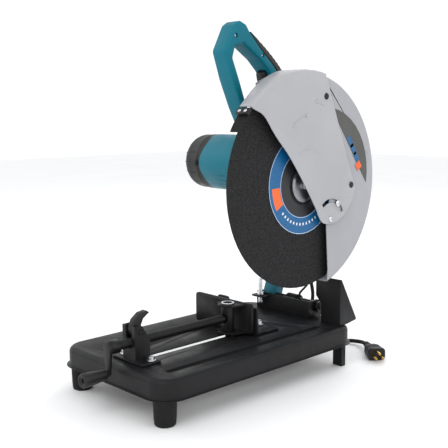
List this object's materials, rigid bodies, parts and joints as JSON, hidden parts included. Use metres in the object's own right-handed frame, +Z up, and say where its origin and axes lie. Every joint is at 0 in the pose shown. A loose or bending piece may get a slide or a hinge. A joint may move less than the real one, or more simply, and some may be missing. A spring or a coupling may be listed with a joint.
{
  "type": "abrasive chop saw",
  "caption": "Bench abrasive cut-off saw: pivoting motor head with guarded wheel and D-handle over a pressed base with screw vise, fence and spark deflector.",
  "frame": {"origin": "centre of the saw's own footprint (crank grip to rear of the guard) at floor level, cord left out", "axes": "+Z up; +Y from the operator at the crank to the rear pivot; +X to the operator's right, the wheel side"},
  "size_m": [0.3101, 0.6472, 0.6008],
  "materials": {
    "black_paint": "satin black paint",
    "rubber": "matt black rubber",
    "zinc": "bright zinc plate",
    "steel": "bare machined steel",
    "black_plastic": "fine-textured black plastic",
    "teal_casting": "satin teal paint on a casting",
    "teal_plastic": "satin teal plastic",
    "grey_paint": "satin light grey paint",
    "panel_grey": "dark grey label panel",
    "copper": "copper windings and segments",
    "carbon": "pressed carbon",
    "abrasive": "rough bonded abrasive",
    "label_blue": "printed paper label"
  },
  "bodies": {
    "base": {"base_pan": "black_paint", "foot_front_left": "rubber", "foot_front_right": "rubber", "foot_rear_left": "black_paint", "foot_rear_right": "black_paint", "vise_bracket": "black_paint", "bracket_bolt_left": "zinc", "bracket_bolt_right": "zinc", "fence_pivot_bolt": "zinc", "fence_lock_bolt": "zinc", "pivot_bracket": "black_paint", "pivot_axle": "zinc", "spark_deflector": "black_paint", "depth_stop_nut": "zinc", "return_spring": "steel", "cord_drop": "rubber", "cord_coil": "rubber", "cord_tail": "rubber", "plug": "black_plastic"},
    "head": {"swing_arm": "teal_casting", "gear_housing": "teal_casting", "bearing_box": "teal_casting", "gear_plate": "steel", "motor_housing": "teal_plastic", "stator": "steel", "end_cap": "black_plastic", "brush_front": "carbon", "brush_rear": "carbon", "spindle_bearing": "steel", "guard_fixed": "grey_paint", "name_panel": "panel_grey", "cover_pivot_screw": "zinc", "cover_slot_screw": "zinc", "handle": "teal_plastic", "rubber_grip": "rubber", "switch_block": "black_plastic", "strain_relief": "black_plastic"},
    "front_cover": {"side_cover": "grey_paint", "guard_plug_upper": "black_plastic", "guard_plug_lower": "black_plastic", "flap_clamp": "black_plastic", "rubber_flap": "rubber"},
    "wheel_set": {"spindle": "steel", "spindle_gear": "steel", "flange_outer": "steel", "arbor_bolt": "zinc", "wheel": "abrasive", "wheel_label": "label_blue"},
    "armature_set": {"armature": "copper", "cooling_fan": "black_plastic"},
    "trigger": {"trigger": "black_plastic"},
    "jaw_carriage": {"jaw_post": "zinc"},
    "screw": {"vise_screw": "steel", "vise_crank": "black_paint"},
    "grip": {"crank_grip": "black_plastic"},
    "jaw": {"vise_jaw": "black_paint"},
    "fence": {"fence": "black_paint"},
    "release": {"quick_release_lever": "black_plastic", "half_nut": "steel"},
    "depth_stop": {"depth_stop_screw": "zinc"}
  },
  "joints": [
    {"name": "arm_pivot", "type": "hinge", "parent": "base", "child": "head", "pos_m": [0, 0.2091, 0.094], "axis": [1, 0, 0], "range_deg": [0, 40], "stiffness_Nm_per_rad": 22, "springref_deg": -31.51, "deforming": ["return_spring", "cord_drop"]},
    {"name": "cover_hinge", "type": "hinge", "parent": "head", "child": "front_cover", "pos_m": [0.1153, 0.1641, 0.2685], "axis": [1, 0, 0], "range_deg": [-70, 0]},
    {"name": "wheel_spin", "type": "hinge", "parent": "head", "child": "wheel_set", "pos_m": [0.097, 0.1081, 0.332], "axis": [1, 0, 0], "continuous": true},
    {"name": "armature_spin", "type": "hinge", "parent": "head", "child": "armature_set", "pos_m": [0, 0.0901, 0.364], "axis": [1, 0, 0], "continuous": true},
    {"name": "trigger_pull", "type": "slide", "parent": "head", "child": "trigger", "axis": [0, 0.7609, 0.6489], "range_m": [0, 0.004], "stiffness_N_per_m": 800, "springref_m": -0.0015},
    {"name": "vise_slide", "type": "slide", "parent": "base", "child": "jaw_carriage", "axis": [0, 1, 0], "range_m": [-0.15, 0.0035]},
    {"name": "screw_turn", "type": "hinge", "parent": "jaw_carriage", "child": "screw", "pos_m": [0.019, -0.0069, 0.104], "axis": [0, 1, 0], "continuous": true},
    {"name": "grip_spin", "type": "hinge", "parent": "screw", "child": "grip", "pos_m": [0.019, -0.2669, 0.064], "axis": [0, 1, 0], "continuous": true},
    {"name": "jaw_swivel", "type": "hinge", "parent": "jaw_carriage", "child": "jaw", "pos_m": [0.019, 0.0071, 0.1], "axis": [0, 0, 1], "range_deg": [-15, 0]},
    {"name": "fence_angle", "type": "hinge", "parent": "base", "child": "fence", "pos_m": [0.022, 0.0801, 0.0743], "axis": [0, 0, 1], "range_deg": [-15, 0]},
    {"name": "quick_release", "type": "hinge", "parent": "base", "child": "release", "pos_m": [0.019, -0.1934, 0.1215], "axis": [1, 0, 0], "range_deg": [0, 60]},
    {"name": "depth_adjust", "type": "slide", "parent": "base", "child": "depth_stop", "axis": [0, 0, 1], "range_m": [-0.008, 0]}
  ],
  "couplings": [
    {"joint": "armature_spin", "follows": "wheel_spin", "ratio": -4.5556},
    {"joint": "jaw_swivel", "follows": "fence_angle", "ratio": 1}
  ]
}
